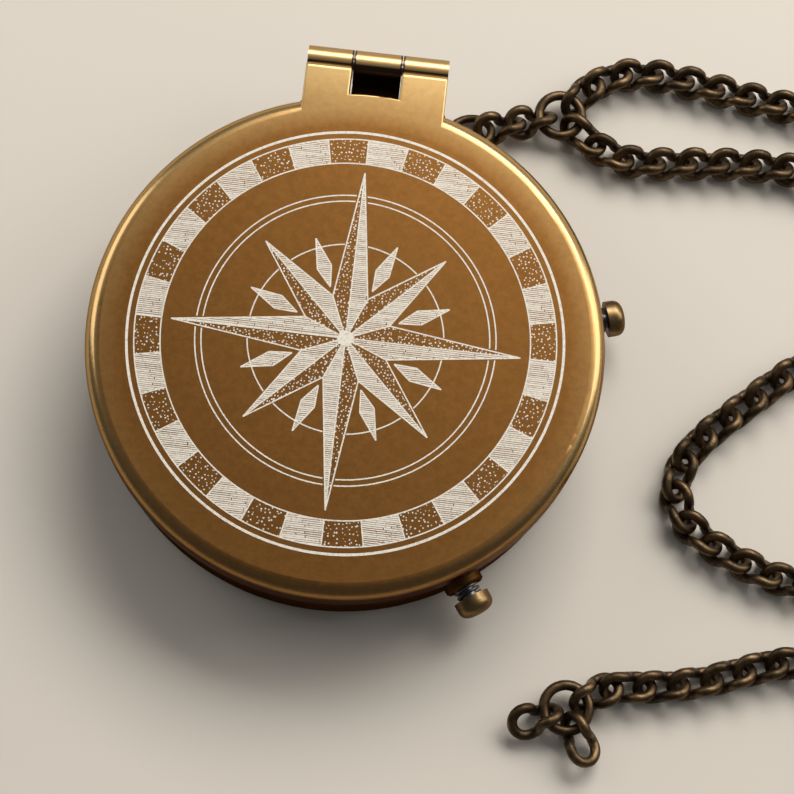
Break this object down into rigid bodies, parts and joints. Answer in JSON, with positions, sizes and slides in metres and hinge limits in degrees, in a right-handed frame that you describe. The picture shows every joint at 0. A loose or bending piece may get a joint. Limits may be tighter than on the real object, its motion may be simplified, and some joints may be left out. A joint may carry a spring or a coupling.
{
  "type": "pocket compass",
  "caption": "Round brass pocket compass with a hinged lid, lid release button, needle lock button, glazed dial, free needle and a curb chain on a bow ring.",
  "frame": {"origin": "centre of the case's flat base", "axes": "+Z out of the lid, +Y toward the lid hinge, +X toward the side with the buttons and the chain"},
  "size_m": [0.093, 0.0732, 0.0124],
  "materials": {
    "case_brass": "antiqued satin",
    "button_brass": "antiqued satin",
    "inner_brass": "satin",
    "chain_bronze": "dark antiqued bronze",
    "steel": "satin",
    "needle_steel": "blued, painted tip",
    "dial_enamel": "matt cream enamel",
    "gasket_rubber": "matt",
    "crystal_glass": "polished",
    "jewel": "polished"
  },
  "bodies": {
    "case": {"case_cup": "case_brass", "case_hinge_lug": "case_brass", "hinge_pin": "steel", "dial_spacer": "inner_brass", "dial_plate": "dial_enamel", "chapter_ring": "inner_brass", "crystal_gasket": "gasket_rubber", "crystal": "crystal_glass", "bezel_ring": "inner_brass", "pivot_post": "steel", "latch_collar": "button_brass", "latch_spring": "steel", "lock_collar": "button_brass", "lock_spring": "steel", "lifter_bracket": "inner_brass", "fulcrum_pin": "steel", "bracket_screws": "steel", "bow_eye": "case_brass", "bow_ring": "chain_bronze", "chain_neck": "chain_bronze", "chain_junction_ring": "chain_bronze", "chain_main": "chain_bronze", "chain_main_end_ring": "chain_bronze", "chain_end_links": "chain_bronze", "chain_branch": "chain_bronze", "chain_branch_end_ring": "chain_bronze"},
    "lid": {"lid_shell": "case_brass", "lid_catch": "steel"},
    "needle": {"needle_blade": "needle_steel", "needle_cap": "inner_brass", "needle_jewel": "jewel"},
    "latch_button": {"latch_head": "button_brass", "latch_stem": "steel"},
    "lock_button": {"lock_head": "button_brass", "lock_stem": "steel"},
    "lifter": {"lifter_lever": "inner_brass", "lifter_sleeve": "inner_brass"}
  },
  "joints": [
    {"name": "lid_hinge", "type": "hinge", "parent": "case", "child": "lid", "pos_m": [0, 0.029, 0.0098], "axis": [-1, 0, 0], "range_deg": [0, 180]},
    {"name": "needle_spin", "type": "hinge", "parent": "case", "child": "needle", "pos_m": [0, 0, 0.00705], "axis": [0, 0, 1], "continuous": true},
    {"name": "latch_press", "type": "slide", "parent": "case", "child": "latch_button", "axis": [-0.5592, 0.829, 0], "range_m": [0, 0.001], "stiffness_N_per_m": 900, "deforming": ["latch_spring", "lid_catch"]},
    {"name": "lock_press", "type": "slide", "parent": "case", "child": "lock_button", "axis": [-0.9613, -0.2756, 0], "range_m": [0, 0.001], "stiffness_N_per_m": 900, "deforming": ["lock_spring"]},
    {"name": "lifter_tilt", "type": "hinge", "parent": "case", "child": "lifter", "pos_m": [0.01057, 0.00303, 0.0025], "axis": [-0.2756, 0.9613, 0], "range_deg": [0, 3.2]}
  ],
  "couplings": [
    {"joint": "lifter_tilt", "follows": "lock_press", "rad_per_m": 55}
  ]
}
